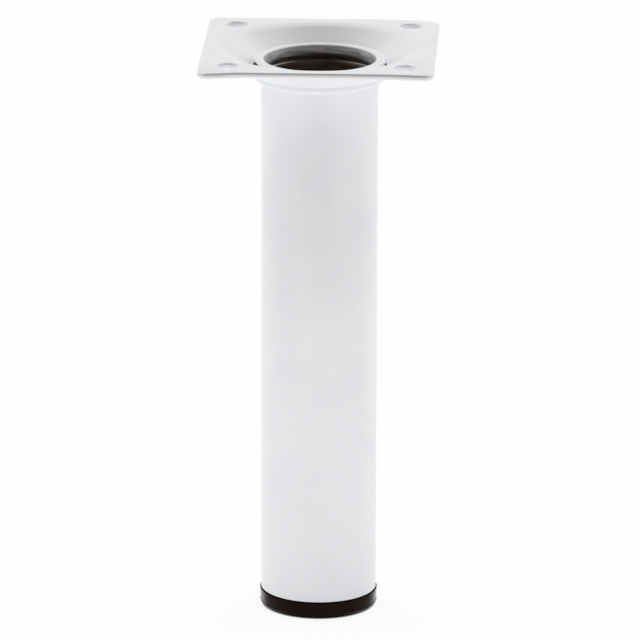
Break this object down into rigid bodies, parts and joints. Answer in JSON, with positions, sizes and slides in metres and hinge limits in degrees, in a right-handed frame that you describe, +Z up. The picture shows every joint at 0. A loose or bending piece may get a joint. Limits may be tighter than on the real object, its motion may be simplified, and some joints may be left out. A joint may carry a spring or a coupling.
{
  "type": "furniture leg",
  "caption": "Fixed round furniture leg: a white steel tube with a square dished screw plate riveted to its top end and a black plastic plug as its foot.",
  "frame": {"origin": "middle of the foot's flat base, at floor level", "axes": "+Z up along the tube's axis to the plate's top face, X and Y along the plate's sides"},
  "size_m": [0.06, 0.06, 0.15],
  "materials": {
    "powder_coat": "semi-gloss white powder coat",
    "black_plastic": "satin black moulded plastic"
  },
  "bodies": {
    "root": {"mounting_plate": "powder_coat", "leg_tube": "powder_coat", "foot_plug": "black_plastic"}
  },
  "joints": []
}
